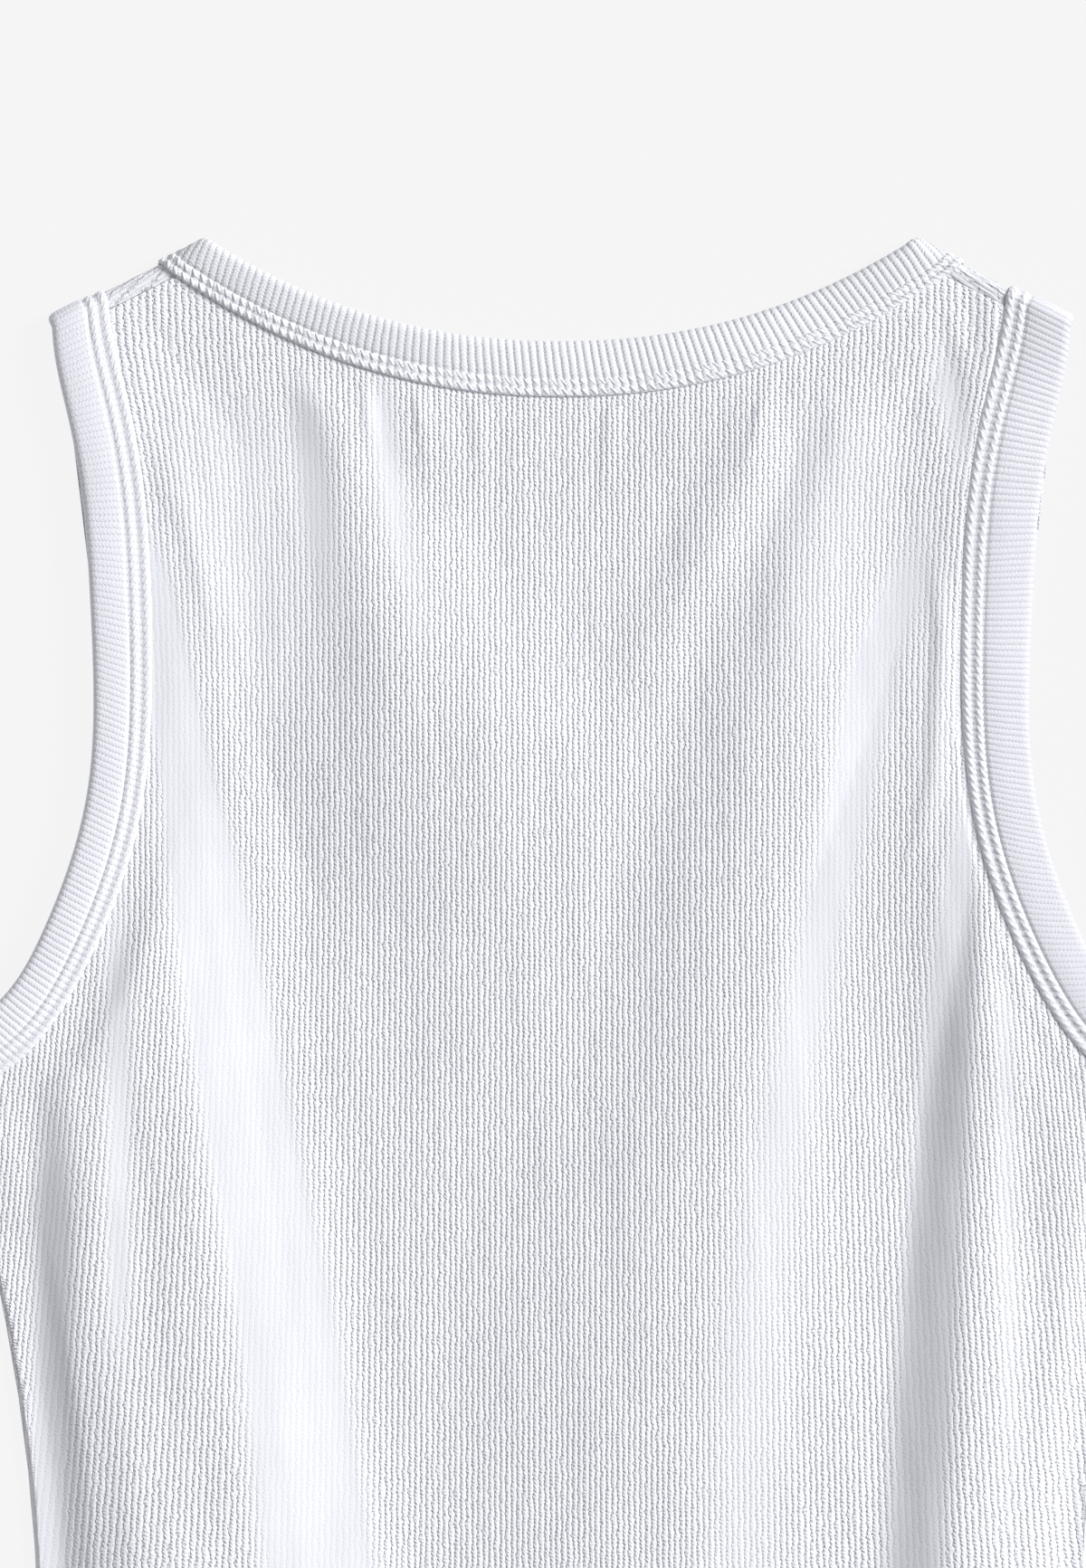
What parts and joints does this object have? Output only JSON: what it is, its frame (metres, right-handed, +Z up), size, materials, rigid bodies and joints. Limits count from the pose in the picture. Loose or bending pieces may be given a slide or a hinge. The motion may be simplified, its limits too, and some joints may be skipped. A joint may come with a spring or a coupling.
{
  "type": "tank top",
  "caption": "Ribbed knit tank top laid flat with its back up: two body panels with a scooped neck, and folded rib bindings round the neck and armholes.",
  "frame": {"origin": "middle of the garment's outline as it lies flat, on the surface it lies on", "axes": "+Y from the hem to the neck, +Z up out of the surface, +X to the right as seen from above"},
  "size_m": [0.3398, 0.5208, 0.0095],
  "materials": {
    "body_rib": "matte white fine 1x1 rib knit",
    "binding_rib": "matte white folded 1x1 rib, two rows of coverstitch"
  },
  "bodies": {
    "root": {"back_panel": "body_rib", "front_panel": "body_rib", "neck_binding": "binding_rib", "armhole_binding_left": "binding_rib", "armhole_binding_right": "binding_rib"}
  },
  "joints": []
}
